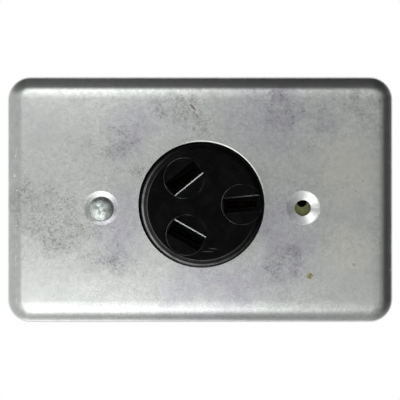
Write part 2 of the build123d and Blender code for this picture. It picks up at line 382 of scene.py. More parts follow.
    def effect(self, group: bpy.types.NodeTree, output: str, **values: float) -> Socket:
        """Places a shared effect with its own values.

        Args:
            group: The effect's node group.
            output: The name of the output to use.
            **values: The group's inputs, with spaces written as underscores.

        Returns:
            The chosen output.
        """
        node = self.add("ShaderNodeGroup", node_tree=group)
        for name, value in values.items():
            self.feed(node.inputs[name.replace("_", " ")], value)
        return node.outputs[output]


@dataclass(frozen=True)
class Noise:
    """An uneven pattern, eased from one of its levels to another."""

    scale: float
    detail: float = 3.0
    rough: float = 0.5
    low: float = 0.0
    high: float = 1.0
    start: float = 0.0
    end: float = 1.0
    shift: Triple = (0.0, 0.0, 0.0)

    def level(self, w: Wiring, place: Socket) -> Socket:
        """Gives the plain pattern, which lies around a half."""
        moved = w.place(place, shift=self.shift) if any(self.shift) else place
        return w.noise(moved, self.scale, self.detail, self.rough)

    def centred(self, w: Wiring, place: Socket) -> Socket:
        """Gives the plain pattern, moved to lie around zero."""
        return w.minus(self.level(w, place), 0.5)

    def mask(self, w: Wiring, place: Socket) -> Socket:
        """Gives the eased pattern."""
        return w.remap(self.level(w, place), self.low, self.high, self.start, self.end)


class Effects:
    """The shader node groups that several finishes share."""

    WEAR_BREAKS = Noise(0.9, 4.0, 0.65)
    SCRATCH = Noise(1.0, 2.0, 0.6)

    # Each run of scratches: its turn in degrees, its scale along and its shift
    SCRATCH_RUNS = ((38.0, 0.4, 3.0), (-44.0, 0.34, 17.0), (76.0, 0.3, 41.0))
    SCRATCH_DEPTH = 0.4
    SCRATCH_FINENESS = 5.0
    SCRATCH_CONTRAST = 12.0
    BLOOM = Noise(1.0, 5.0, 0.6)
    CRYSTAL_BEND = Noise(0.5, 2.0, 0.5)
    STAIN = Noise(0.42, 6.0, 0.72, low=0.52, high=0.72, shift=(31.0, 7.0, 11.0))
    COARSE_SKIN = Noise(1.0, 3.0, 0.55)
    FINE_SKIN = Noise(4.3, 2.0, 0.5)
    FINE_SKIN_SHARE = 0.35
    DUST_PATCHES = Noise(0.35, 5.0, 0.7, low=0.42, high=0.75)
    DUST_SPECKS = Noise(2.6, 3.0, 0.8, low=0.56, high=0.7)
    PATCH_SHARE = 0.7
    SPECK_SHARE = 0.5
    UPWARD_LEVELS = (0.1, 1.0, 0.12, 1.0)
    BEVEL_FROM = (0.4, 0.55)
    BEVEL_TO = (0.9, 0.8)
    BEVEL_GAIN = 1.4

    def __init__(self) -> None:
        """Builds every group once."""
        self.edge_wear = self._edge_wear()
        self.scratches = self._scratches()
        self.mottle = self._mottle()
        self.grain = self._grain()
        self.dust = self._dust()
        self.front_edges = self._front_edges()

    @staticmethod
    def _start(
        name: str, inputs: dict[str, float], outputs: tuple[str, ...]
    ) -> tuple[bpy.types.NodeTree, Wiring, bpy.types.Node, bpy.types.Node]:
        """Makes an empty group with its sockets.

        Args:
            name: The group's name.
            inputs: The name and usual value of each input.
            outputs: The name of each output.

        Returns:
            The group, its wiring, its input node and its output node.
        """
        tree = bpy.data.node_groups.new(name, "ShaderNodeTree")
        for label, value in inputs.items():
            socket = tree.interface.new_socket(label, in_out="INPUT", socket_type="NodeSocketFloat")
            socket.default_value = value
        for label in outputs:
            tree.interface.new_socket(label, in_out="OUTPUT", socket_type="NodeSocketFloat")
        wiring = Wiring(tree)
        return tree, wiring, wiring.add("NodeGroupInput"), wiring.add("NodeGroupOutput")

    def _edge_wear(self) -> bpy.types.NodeTree:
        """Finds the edges that hands and tools rub, broken up by noise."""
        tree, w, given, result = self._start(
            "edge_wear", {"Radius": 0.0004, "Breakup": 0.9, "Gain": 3.0}, ("Mask",)
        )
        rounded = w.add("ShaderNodeBevel", samples=6)
        w.feed(rounded.inputs["Radius"], given.outputs["Radius"])
        likeness = w.vector("DOT_PRODUCT", rounded.outputs["Normal"], w.facing())
        edge = w.times(w.minus(1.0, likeness), given.outputs["Gain"])
        breaks = self.WEAR_BREAKS.level(w, w.millimetres())
        kept = w.minus(1.0, w.times(breaks, given.outputs["Breakup"]))
        w.feed(result.inputs["Mask"], w.times(edge, kept, clamp=True))
        return tree

    def _scratches(self) -> bpy.types.NodeTree:
        """Draws fine crossing scratches in three directions on an upright face."""
        tree, w, given, result = self._start(
            "fine_scratches", {"Scale": 1.0, "Threshold": 0.62}, ("Mask",)
        )
        flat = w.vector("SCALE", w.millimetres(), given.outputs["Scale"])
        found = []
        for turn, length, shift in self.SCRATCH_RUNS:
            scale = (length, self.SCRATCH_DEPTH, self.SCRATCH_FINENESS)
            run = w.place(flat, scale=scale, turn=(0.0, turn, 0.0), shift=(shift,) * 3)
            above = w.minus(self.SCRATCH.level(w, run), given.outputs["Threshold"])
            found.append(w.times(above, self.SCRATCH_CONTRAST, clamp=True))
        w.feed(result.inputs["Mask"], w.highest(*found))
        return tree

    def _mottle(self) -> bpy.types.NodeTree:
        """Gives the uneven bloom, the small crystals and the stains of a zinc coating."""
        inputs = {"Bloom Scale": 0.09, "Crystal Scale": 0.75}
        outputs = ("Bloom", "Crystal", "Stain")
        tree, w, given, result = self._start("zinc_mottle", inputs, outputs)
        place = w.millimetres()
        bloom_place = w.vector("SCALE", place, given.outputs["Bloom Scale"])
        w.feed(result.inputs["Bloom"], self.BLOOM.level(w, bloom_place))
        bent = w.vector("ADD", place, self.CRYSTAL_BEND.level(w, place))
        crystal_place = w.vector("SCALE", bent, given.outputs["Crystal Scale"])
        shades = w.add("ShaderNodeSeparateColor")
        w.feed(shades.inputs["Color"], w.cells(crystal_place))
        w.feed(result.inputs["Crystal"], shades.outputs["Red"])
        w.feed(result.inputs["Stain"], self.STAIN.mask(w, place))
        return tree

    def _grain(self) -> bpy.types.NodeTree:
        """Gives the fine height of a moulded, rolled or plated skin."""
        tree, w, given, result = self._start("skin_grain", {"Scale": 3.0}, ("Height",))
        place = w.vector("SCALE", w.millimetres(), given.outputs["Scale"])
        fine = w.times(self.FINE_SKIN.level(w, place), self.FINE_SKIN_SHARE)
        w.feed(result.inputs["Height"], w.plus(self.COARSE_SKIN.level(w, place), fine))
        return tree

    def _dust(self) -> bpy.types.NodeTree:
        """Finds where dust settles: on upward faces and in loose patches."""
        tree, w, given, result = self._start("settled_dust", {"Amount": 0.3}, ("Mask",))
        upward = w.remap(w.axes(w.facing())["Z"], *self.UPWARD_LEVELS)
        patches = w.times(self.DUST_PATCHES.mask(w, w.millimetres()), self.PATCH_SHARE)
        specks = w.times(self.DUST_SPECKS.mask(w, w.millimetres()), self.SPECK_SHARE)
        mask = w.times(upward, w.plus(patches, specks), given.outputs["Amount"])
        w.feed(result.inputs["Mask"], w.math("MINIMUM", mask, 1.0))
        return tree

    def _front_edges(self) -> bpy.types.NodeTree:
        """Finds the bevelled edges at the front of the socket and the way they face."""
        outputs = ("Mask", "Left", "Down")
        tree, w, given, result = self._start("front_edges", {"Depth": 0.5}, outputs)
        facing = w.axes(w.facing())
        forward = w.times(facing["Y"], -1.0)
        bevelled = w.times(w.remap(forward, *self.BEVEL_FROM), w.remap(forward, *self.BEVEL_TO))
        behind = w.minus(w.axes(w.millimetres())["Y"], FACE_FRONT)
        near = w.math("LESS_THAN", behind, given.outputs["Depth"])
        w.feed(result.inputs["Mask"], w.times(bevelled, near))
        w.feed(result.inputs["Left"], w.times(facing["X"], -self.BEVEL_GAIN))
        w.feed(result.inputs["Down"], w.times(facing["Z"], -self.BEVEL_GAIN))
        return tree


@dataclass(frozen=True)
class EdgeWear:
    """How edges are rubbed: the reach in metres, the breaks and the strength."""

    radius: float
    gain: float
    breakup: float = 0.9

    def mask(self, w: Wiring, effects: Effects) -> Socket:
        """Places the shared effect with these values."""
        values = {"Radius": self.radius, "Breakup": self.breakup, "Gain": self.gain}
        return w.effect(effects.edge_wear, "Mask", **values)


@dataclass(frozen=True)
class Mottle:
    """The scales of a coating's bloom and crystals, and where the bloom starts and ends."""

    bloom: float
    crystal: float
    low: float
    high: float

    def level(self, w: Wiring, effects: Effects) -> Socket:
        """Places the shared effect and gives its plain bloom."""
        scales = {"Bloom_Scale": self.bloom, "Crystal_Scale": self.crystal}
        return w.effect(effects.mottle, "Bloom", **scales)

    def eased(self, w: Wiring, bloom: Socket) -> Socket:
        """Eases the bloom between its two levels."""
        return w.remap(bloom, self.low, self.high)


@dataclass(frozen=True)
class Scratches:
    """How close fine scratches lie, and the level above which one shows."""

    scale: float
    threshold: float

    def mask(self, w: Wiring, effects: Effects) -> Socket:
        """Places the shared effect with these values."""
        values = {"Scale": self.scale, "Threshold": self.threshold}
        return w.effect(effects.scratches, "Mask", **values)


@dataclass(frozen=True)
class Skin:
    """The fine relief of a surface: the grain's scale, the bump's strength and its height.

    The height is in metres.
    """

    grain: float
    strength: float
    height: float

    def level(self, w: Wiring, effects: Effects) -> Socket:
        """Places the shared grain."""
        return w.effect(effects.grain, "Height", Scale=self.grain)

    def normal(self, w: Wiring, relief: Socket, shaped: Socket | None = None) -> Socket:
        """Bends the surface's normal, or a normal that is given, by a relief."""
        return w.bump(relief, self.strength, self.height, shaped)


@dataclass(frozen=True)
class Patch:
    """A worn or stained place on the plate, in millimetres on its face."""

    x: float
    z: float
    reach_x: float
    reach_z: float
    turn: float = 0.0
    soft: float = 0.6

    def mask(self, w: Wiring, place: Socket) -> Socket:
        """Makes the soft mask of the place.

        Args:
            w: The material's wiring.
            place: Coordinates in millimetres.

        Returns:
            The mask, 1 in the middle.
        """
        centred = w.place(place, shift=(-self.x, 0.0, -self.z))
        turned = w.place(centred, scale=FLAT, turn=(0.0, self.turn, 0.0))
        shaped = w.place(turned, scale=(1.0 / self.reach_x, 1.0, 1.0 / self.reach_z))
        return w.remap(w.length(shaped), 1.0, 1.0 - self.soft)

    @staticmethod
    def all_of(w: Wiring, place: Socket, patches: tuple["Patch", ...]) -> Socket:
        """Joins several places into one mask, the highest of theirs."""
        return w.highest(*(patch.mask(w, place) for patch in patches))


class Finish:
    """One material: what all finishes share."""

    name: str

    def shader(self, effects: Effects) -> bpy.types.Material:
        """Makes the material.

        Args:
            effects: The shared node groups.

        Returns:
            The material, ready for a piece.
        """
        material = bpy.data.materials.new(self.name)
        material.use_nodes = True
        wiring = Wiring(material.node_tree)
        surface = material.node_tree.nodes["Principled BSDF"]
        self.dress(wiring, surface, effects)
        return material

    def dress(self, w: Wiring, surface: bpy.types.Node, effects: Effects) -> None:
        """Adds the finish's own nodes.

        Args:
            w: The material's wiring.
            surface: The shader that they feed.
            effects: The shared node groups.
        """
        raise NotImplementedError


@dataclass(frozen=True)
class SheetMasks:
    """The masks of the cover plate that its colour, gloss and relief share."""

    place: Socket
    loose: Socket
    bloom: Socket
    ragged: Socket
    crystal: Socket
    stain: Socket
    dulled: Socket
    grains: Socket
    busy: Socket
    scratch: Socket
    dark: Socket
    rusty: Socket


@dataclass(frozen=True)
class ZincSheet(Finish):
    """Zinc coating on the pressed cover plate, clouded, scratched and stained."""

    name: str = "zinc_sheet"
    pale: Colour = (0.67, 0.69, 0.67)
    grey: Colour = (0.5, 0.53, 0.53)
    lilac: Colour = (0.56, 0.55, 0.605)
    straw: Colour = (0.8, 0.79, 0.72)
    # The pale colour of scratches and wear, also of the painted glints and the painted highlight on
    # the opening's rim
    rubbed: Colour = (0.84, 0.85, 0.84)
    pitted: Colour = (0.1, 0.09, 0.075)
    rust: Colour = (0.13, 0.115, 0.03)
    metallic: float = 0.92
    roughness: float = 0.19

    mottle: Mottle = Mottle(0.09, 0.8, low=0.4, high=0.68)
    skin: Skin = Skin(1.6, 0.5, 0.000012)
    scratches: Scratches = Scratches(1.7, 0.56)
    ragged: Noise = Noise(0.22, 5.0, 0.65, low=0.3, high=0.62, start=0.4)
    grains: Noise = Noise(1.7, 3.0, 0.75, low=0.5, high=0.64)
    fine: Noise = Noise(2.6, 2.0, 0.6)
    coarse: Noise = Noise(0.8, 4.0, 0.7)
    # Pale specks painted into the colour as glints, a painted highlight
    glints: Noise = Noise(2.0, 3.0, 0.8, low=0.58, high=0.68, shift=(5.0, 9.0, 2.0))
    rust_breaks: Noise = Noise(1.7, 3.0, 0.7, low=0.3, high=0.5, start=0.35)
    wear: EdgeWear = EdgeWear(0.0003, gain=4.0, breakup=0.4)

    # A drift's scale and reach, and the bloom's levels and results in the stains
    loose_drift: tuple[float, float] = (0.12, 26.0)
    near_drift: tuple[float, float] = (0.2, 8.0)
    stain_levels: tuple[float, float, float, float] = (0.3, 0.6, 0.45, 0.95)

    grey_share: float = 0.25
    lilac_share: float = 0.95
    straw_share: float = 0.7
    rubbed_share: float = 0.4
    glint_share: float = 0.5
    general_dullness: float = 0.22
    calm_share: float = 0.8
    crystal_shade: float = 0.05
    fine_shade: float = 0.5
    coarse_shade: float = 0.34
    grain_shade: float = 0.38
    dull_shade: float = 0.34
    stain_shade: float = 0.04
    scratch_everywhere: float = 0.08
    scratch_rubbed: float = 0.8
    scratch_depth: float = 0.25
    speck_share: float = 0.75
    pit_share: float = 0.92
    gouge_rim_share: float = 0.35
    worn_lit_rim_reach: float = 20.0
    worn_lit_rim_soft: float = 0.5
    pit_dullness: float = 0.8
    pit_roughness: float = 0.3
    dull_roughness: float = 0.1
    skin_depth: float = 0.22
    crystal_depth: float = 0.1
    grain_depth: float = 0.15

    dimples: tuple[tuple[float, float], ...] = ()
    dimple_radius: float = 5.0
    dimple_soft: float = 0.25
    dimple_flattening: float = 0.33
    opening: tuple[float, float] = (-0.2, 0.25)
    lip_radius: float = 19.2
    lip_fall: float = 0.13
    lip_side: Triple = (0.5, 0.0, 0.86)
    lip_side_levels: tuple[float, float] = (0.4, 0.95)
    shoulder_start: float = 7.0
    shoulder_fall: float = 0.0115

    lilac_clouds: tuple[Patch, ...] = (
        Patch(-18.0, 24.0, 15.0, 9.0, soft=0.9),
        Patch(6.0, -24.0, 26.0, 14.0, soft=0.9),
        Patch(22.0, 27.0, 22.0, 12.0, soft=0.9),
        Patch(24.0, -13.0, 14.0, 22.0, soft=0.9),
        Patch(-24.0, -8.0, 10.0, 16.0, soft=0.9),
    )
    straw_clouds: tuple[Patch, ...] = (
        Patch(42.0, 10.0, 14.0, 17.0, soft=0.9),
        Patch(44.0, -14.0, 12.0, 11.0, soft=0.9),
    )
    dull_clouds: tuple[Patch, ...] = (
        Patch(-24.0, 20.5, 14.0, 5.5, turn=12.0, soft=0.9),
        Patch(-18.0, 11.0, 9.0, 4.0, turn=-10.0, soft=0.9),
        Patch(-45.0, -4.0, 15.0, 11.0, turn=-20.0, soft=0.7),
        Patch(-50.0, 1.0, 10.0, 8.0, soft=0.7),
        Patch(-43.0, -10.0, 11.0, 7.0, turn=25.0, soft=0.7),
        Patch(-34.0, -10.0, 13.0, 8.0, turn=30.0, soft=0.8),
        Patch(-26.0, -17.0, 12.0, 9.0, soft=0.9),
        Patch(27.0, 28.0, 20.0, 9.0, soft=0.9),
        Patch(48.0, 31.0, 9.0, 6.0, soft=0.9),
        Patch(23.0, -17.0, 9.0, 14.0, soft=0.9),
        Patch(-5.0, 27.0, 16.0, 8.0, soft=0.9),
    )
    left_stains: tuple[Patch, ...] = (
        Patch(-47.0, -1.0, 16.0, 11.0, turn=-12.0, soft=0.6),
        Patch(-41.0, -9.0, 12.0, 8.0, turn=30.0, soft=0.6),
    )
    calm_places: tuple[Patch, ...] = (
        Patch(-50.0, 26.0, 18.0, 12.0, soft=0.6),
        Patch(-50.0, -27.0, 15.0, 11.0, soft=0.6),
        Patch(46.0, 6.0, 15.0, 19.0, soft=0.7),
        Patch(46.0, -22.0, 13.0, 14.0, soft=0.7),
    )
    specks: tuple[Patch, ...] = (
        Patch(42.0, 5.2, 0.8, 0.64, soft=0.7),
        Patch(45.9, 4.3, 1.1, 0.56, turn=30.0, soft=0.7),
        Patch(48.0, 7.3, 0.64, 1.3, soft=0.7),
        Patch(36.0, 5.5, 0.72, 0.48, soft=0.7),
        Patch(45.3, -17.7, 0.96, 0.64, turn=-40.0, soft=0.7),
        Patch(37.5, 12.5, 0.48, 0.48, soft=0.7),
        Patch(-29.2, 9.0, 0.56, 0.48, soft=0.7),
        Patch(-2.5, 22.9, 0.8, 1.4, turn=20.0, soft=0.7),
    )
    rubbed_place: Patch = Patch(-38.0, 0.0, 20.0, 22.0, soft=0.9)
    gouge: Patch = Patch(-2.7, 29.3, 1.9, 0.45, turn=-48.0, soft=0.4)
    gouge_rim: Patch = Patch(-2.7, 29.3, 3.2, 0.8, turn=-48.0, soft=0.5)
    rust_spot: Patch = Patch(32.2, -21.0, 1.6, 1.4, soft=0.6)

    def dress(self, w: Wiring, surface: bpy.types.Node, effects: Effects) -> None:
        """Adds the zinc's clouds, crystals, pits, scratches, specks and rust.

        Args:
            w: The material's wiring.
            surface: The shader that they feed.
            effects: The shared node groups.
        """
        masks = self._masks(w, effects)
        tone = self._marked(w, effects, masks, self._clouded(w, masks))
        w.feed(surface.inputs["Base Color"], tone)
        dull = w.highest(masks.rusty, w.times(masks.dark, self.pit_dullness))
        w.feed(surface.inputs["Metallic"], w.minus(self.metallic, w.times(dull, self.metallic)))
        rough = w.plus(self.roughness, w.times(masks.dulled, self.dull_roughness))
        rough = w.plus(rough, w.times(dull, self.pit_roughness), clamp=True)
        w.feed(surface.inputs["Roughness"], rough)
        height = w.plus(self._shoulder(w, masks.place), self._pressed(w, masks.place))
        shaped = w.bump(height, 1.0, MM)
        relief = self._relief(w, effects, masks)
        w.feed(surface.inputs["Normal"], self.skin.normal(w, relief, shaped))

    def _masks(self, w: Wiring, effects: Effects) -> SheetMasks:
        """Makes the masks that colour, gloss and relief share.

        Args:
            w: The material's wiring.
            effects: The shared node groups.

        Returns:
            The masks.
        """
        place = w.millimetres()
        loose, near = w.drift(place, *self.loose_drift), w.drift(place, *self.near_drift)
        bloom = self.mottle.level(w, effects)
        ragged = self.ragged.mask(w, place)
        clouds = w.times(Patch.all_of(w, loose, self.dull_clouds), ragged)
        stains = w.times(
            Patch.all_of(w, near, self.left_stains), w.remap(bloom, *self.stain_levels)
        )
        calm = Patch.all_of(w, near, self.calm_places)
        lines = self.scratches.mask(w, effects)
        rubbed = w.times(self.rubbed_place.mask(w, loose), self.scratch_rubbed)
        specks = w.times(Patch.all_of(w, place, self.specks), self.speck_share)
        return SheetMasks(
            place=place,
            loose=loose,
            bloom=bloom,
            ragged=ragged,
            crystal=bloom.node.outputs["Crystal"],
            stain=bloom.node.outputs["Stain"],
            dulled=w.highest(clouds, w.times(ragged, self.general_dullness), stains),
            grains=self.grains.mask(w, place),
            busy=w.minus(1.0, w.times(calm, self.calm_share)),
            scratch=w.times(lines, w.plus(rubbed, self.scratch_everywhere)),
            dark=w.highest(self.gouge.mask(w, place), specks),
            rusty=w.times(self.rust_spot.mask(w, place), self.rust_breaks.mask(w, place)),
        )

    def _clouded(self, w: Wiring, masks: SheetMasks) -> Socket:
        """Gives the coating's colour under its marks: clouds, crystals and grain.

        Args:
            w: The material's wiring.
            masks: The shared masks.

        Returns:
            The colour.
        """
        bloom = w.times(self.mottle.eased(w, masks.bloom), self.grey_share)
        tone = w.mix(bloom, self.pale, self.grey)
        for patches, colour, share in (
            (self.lilac_clouds, self.lilac, self.lilac_share),
            (self.straw_clouds, self.straw, self.straw_share),
        ):
            cloud = w.times(Patch.all_of(w, masks.loose, patches), masks.ragged, share)
            tone = w.mix(cloud, tone, colour)
        fine = w.times(self.fine.centred(w, masks.place), masks.busy, self.fine_shade)
        coarse = w.times(self.coarse.centred(w, masks.place), masks.busy, self.coarse_shade)
        crystals = w.times(w.minus(masks.crystal, 0.5), self.crystal_shade)
        dark_grain = w.times(masks.grains, masks.dulled, self.grain_shade)
        dark_grain = w.plus(dark_grain, w.times(masks.dulled, self.dull_shade))
        shade = w.minus(w.plus(1.0, crystals, fine, coarse), dark_grain)
        shade = w.minus(shade, w.times(masks.stain, self.stain_shade))
        return w.mix(1.0, tone, w.grey(shade), "MULTIPLY")

    def _marked(self, w: Wiring, effects: Effects, masks: SheetMasks, tone: Socket) -> Socket:
        """Puts scratches, painted glints, the rubbed rim with its painted highlight, pits and rust
        on the colour.

        Args:
            w: The material's wiring.
            effects: The shared node groups.
            masks: The shared masks.
            tone: The colour under the marks.

        Returns:
            The colour with the marks.
        """
        # Edge wear kept to the opening's rim, painted pale: wear and a painted highlight on the cut
        # edge
        reach = w.around(masks.place, 0.0, 0.0)
        lit_rim = w.remap(reach, self.worn_lit_rim_reach + self.worn_lit_rim_soft, self.worn_lit_rim_reach)
        for rubbed in (
            w.times(masks.scratch, self.rubbed_share),
            w.times(self.glints.mask(w, masks.place), masks.dulled, self.glint_share),
            w.times(self.wear.mask(w, effects), lit_rim),
            w.times(self.gouge_rim.mask(w, masks.place), self.gouge_rim_share),
        ):
            tone = w.mix(rubbed, tone, self.rubbed)
        tone = w.mix(w.times(masks.dark, self.pit_share), tone, self.pitted)
        return w.mix(masks.rusty, tone, self.rust)

    def _relief(self, w: Wiring, effects: Effects, masks: SheetMasks) -> Socket:
        """Gives the fine height of the coating: skin, crystals, scratches and grain.

        Args:
            w: The material's wiring.
            effects: The shared node groups.
            masks: The shared masks.

        Returns:
            The height.
        """
        skin = w.times(self.skin.level(w, effects), self.skin_depth)
        crystals = w.times(masks.crystal, self.crystal_depth)
        relief = w.times(w.plus(skin, crystals), masks.busy)
        relief = w.plus(relief, w.times(masks.scratch, -self.scratch_depth))
        return w.minus(relief, w.times(masks.grains, masks.dulled, self.grain_depth))

    def _pressed(self, w: Wiring, place: Socket) -> Socket:
        """Gives the soft bend of the dimples' walls and of the opening's lip.

        Args:
            w: The material's wiring.
            place: Coordinates in millimetres.

        Returns:
            The height, in millimetres.
        """
        dished = []
        for x, z in self.dimples:
            within = w.highest(w.minus(self.dimple_radius, w.around(place, x, z)), 0.0)
            squared = w.plus(w.times(within, within), self.dimple_soft**2)
            dished.append(w.math("SQRT", squared))
        reach = w.around(place, *self.opening)
        lip = w.highest(w.minus(self.lip_radius, reach), 0.0)
        side = w.math("DIVIDE", w.vector("DOT_PRODUCT", place, self.lip_side), reach)
        fall = w.times(lip, w.remap(side, *self.lip_side_levels), -self.lip_fall)
        return w.plus(w.times(w.plus(0.0, *dished), self.dimple_flattening), fall)

    def _shoulder(self, w: Wiring, place: Socket) -> Socket:
        """Gives the sheet's soft fall towards its rolled edges.

        Args:
            w: The material's wiring.
            place: Coordinates in millimetres.

        Returns:
            The height, in millimetres.
        """
        low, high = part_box("cover_plate")
        parts = w.axes(place)
        falls = []
        for axis, start, end in (("X", low.x, high.x), ("Z", low.z, high.z)):
            middle, half = (start + end) / 2 / MM, (end - start) / 2 / MM
            aside = w.math("ABSOLUTE", w.minus(parts[axis], middle))
            over = w.highest(w.minus(aside, half - self.shoulder_start), 0.0)
            falls.append(w.math("POWER", over, 2.0))
        return w.times(w.plus(*falls), -self.shoulder_fall)


@dataclass(frozen=True)
class PlatedSteel(Finish):
    """Zinc plating on a screw or strap, rubbed bright on its edges."""

    name: str = "plated_steel"
    colour: Colour = (0.6, 0.61, 0.6)
    tint: Colour = (0.42, 0.43, 0.42)
    bright: Colour = (0.85, 0.86, 0.85)
    grime: Colour = (0.09, 0.08, 0.06)
    shadow: Colour = (0.006, 0.006, 0.006)
    shadow_share: float = 0.97
    roughness: float = 0.34
    stain_amount: float = 0.5
    stain_dullness: float = 0.5
    stain_roughness: float = 0.35
    worn_smoothness: float = 0.1
    shaded_within: float = 0.0
    mottle: Mottle = Mottle(0.5, 1.6, low=0.35, high=0.65)
    skin: Skin = Skin(3.0, 0.35, 0.00003)
    wear: EdgeWear = EdgeWear(0.00025, gain=3.5)

    def dress(self, w: Wiring, surface: bpy.types.Node, effects: Effects) -> None:
        """Adds the plating's cloudy tint, grime and rubbed edges, and the painted shadow near the
        socket's axis.

        Args:
            w: The material's wiring.
            surface: The shader that they feed.
            effects: The shared node groups.
        """
        clouds = self.mottle.level(w, effects)
        tone = w.mix(self.mottle.eased(w, clouds), self.colour, self.tint)
        dirty = w.times(clouds.node.outputs["Stain"], self.stain_amount)
        tone = w.mix(dirty, tone, self.grime)
        worn = self.wear.mask(w, effects)
        tone = w.mix(worn, tone, self.bright)
        # Painted shadow: near black within this distance of the socket's axis
        if self.shaded_within:
            reach = w.around(w.millimetres(), 0.0, 0.0)
            inside = w.math("LESS_THAN", reach, self.shaded_within)
            tone = w.mix(w.times(inside, self.shadow_share), tone, self.shadow)
        w.feed(surface.inputs["Base Color"], tone)
        metallic = w.minus(1.0, w.times(dirty, self.stain_dullness))
        w.feed(surface.inputs["Metallic"], metallic)
        rough = w.plus(self.roughness, w.times(dirty, self.stain_roughness))
        rough = w.minus(rough, w.times(worn, self.worn_smoothness))
        w.feed(surface.inputs["Roughness"], rough)
        w.feed(surface.inputs["Normal"], self.skin.normal(w, self.skin.level(w, effects)))


@dataclass(frozen=True)
class Phenolic(Finish):
    """Black moulded phenolic with a dull polish, fine scratches and a little dust."""

    name: str = "black_phenolic"
    colour: Colour = (0.002, 0.002, 0.0022)
    # The pale colour of wear and scratches, also of the painted highlight on the rim
    rubbed: Colour = (0.3, 0.305, 0.3)
    dust: Colour = (0.3, 0.28, 0.25)
    roughness: float = 0.26
    specular: float = 0.022
    dust_amount: float = 0.04
    dust_roughness: float = 0.5
    worn_roughness: float = 0.2
    scratch_share: float = 0.02
    scratch_depth: float = 0.6
    scratches: Scratches = Scratches(1.7, 0.66)
    skin: Skin = Skin(2.2, 0.3, 0.000006)
    clouds: Noise = Noise(0.22, 4.0, 0.6, low=0.35, high=0.7, start=0.7, end=1.4)
    wear: EdgeWear = EdgeWear(0.0002, gain=1.2, breakup=1.1)
    wear_share: float = 0.3

    rear_colour: Colour = (0.018, 0.018, 0.019)
    rear_start: float = 9.0
    rear_end: float = 12.0
    rear_sheen: float = 0.0
    rear_sheen_roughness: float = 0.3
    rear_dust: float = 0.35

    # The side toward the light, where the rim gets its painted highlight, and each highlight ring's
    # start, end, softness and share
    lit_rim_side: Triple = (-0.6, 0.0, -0.8)
    lit_rim_side_levels: tuple[float, float, float, float] = (-0.5, 1.0, 0.0, 0.45)
    lit_rim_rings: tuple[tuple[float, float, float, float], ...] = (
        (17.5, 17.85, 0.2, 1.0),
        (16.3, 16.4, 0.15, 0.5),
        (16.5, 17.3, 0.2, 0.1),
    )
    rim_breaks: Noise = Noise(0.5, 3.0, 0.6, low=0.3, high=0.6, start=0.6)
    rub_and_highlight_depth: float = 2.4
    mark_share: float = 0.14
    marks: tuple[Patch, ...] = (
        Patch(1.6, -13.65, 2.3, 0.16, soft=0.6),
        Patch(3.2, -12.8, 1.7, 0.14, turn=-6.0, soft=0.6),
    )

    def dress(self, w: Wiring, surface: bpy.types.Node, effects: Effects) -> None:
        """Adds the moulding's skin, its rubbed edges, its painted highlights, scratches and dust.

        Args:
            w: The material's wiring.
            surface: The shader that they feed.
            effects: The shared node groups.
        """
        place = w.millimetres()
        tone: Feed = self.colour
        dust_amount: Feed = self.dust_amount
        if self.rear_sheen:
            depth = w.axes(place)["Y"]
            rear = w.remap(depth, FACE_FRONT + self.rear_start, FACE_FRONT + self.rear_end)
            tone = w.mix(rear, self.colour, self.rear_colour)
            dust_amount = w.plus(self.dust_amount, w.times(rear, self.rear_dust))
            w.feed(surface.inputs["Coat Weight"], w.times(rear, self.rear_sheen))
            surface.inputs["Coat Roughness"].default_value = self.rear_sheen_roughness
        tone = w.mix(1.0, tone, w.grey(self.clouds.mask(w, place)), "MULTIPLY")
        worn = w.times(self.wear.mask(w, effects), self.wear_share)
        # Edge wear joined with the painted highlights on the rim and on the channel's edges
        worn = w.highest(worn, self.rubs_and_highlights(w, place, effects))
        tone = w.mix(worn, tone, self.rubbed)
        lines = self.scratches.mask(w, effects)
        tone = w.mix(w.times(lines, self.scratch_share), tone, self.rubbed)
        dusty = w.effect(effects.dust, "Mask", Amount=dust_amount)
        w.feed(surface.inputs["Base Color"], w.mix(dusty, tone, self.dust))
        surface.inputs["Specular IOR Level"].default_value = self.specular
        rough = w.plus(self.roughness, w.times(dusty, self.dust_roughness))
        rough = w.plus(rough, w.times(worn, self.worn_roughness), clamp=True)
        w.feed(surface.inputs["Roughness"], rough)
        relief = w.plus(self.skin.level(w, effects), w.times(lines, -self.scratch_depth))
        w.feed(surface.inputs["Normal"], self.skin.normal(w, relief))

    def rubs_and_highlights(self, w: Wiring, place: Socket, effects: Effects) -> Socket:
        """Finds the rim painted pale as a highlight on its lower left, toward the light, and the
        rubbed marks on the face.

        Args:
            w: The material's wiring.
            place: Coordinates in millimetres.
            effects: The shared node groups; not used here.

        Returns:
            The mask.
        """
        reach = w.around(place, 0.0, 0.0)
        # Painted highlight: rings on the rim, strongest on the side toward the light
        side = w.math("DIVIDE", w.vector("DOT_PRODUCT", place, self.lit_rim_side), reach)
        share = w.times(w.remap(side, *self.lit_rim_side_levels), self.rim_breaks.mask(w, place))
        rings = (
            w.times(w.ring(reach, low, high, soft), strength)
            for low, high, soft, strength in self.lit_rim_rings
        )
        lit_rim = w.times(w.highest(*rings), share)
        marked = w.times(Patch.all_of(w, place, self.marks), self.mark_share)
        in_front = w.math("LESS_THAN", w.axes(place)["Y"], FACE_FRONT + self.rub_and_highlight_depth)
        return w.times(w.highest(lit_rim, marked), in_front)


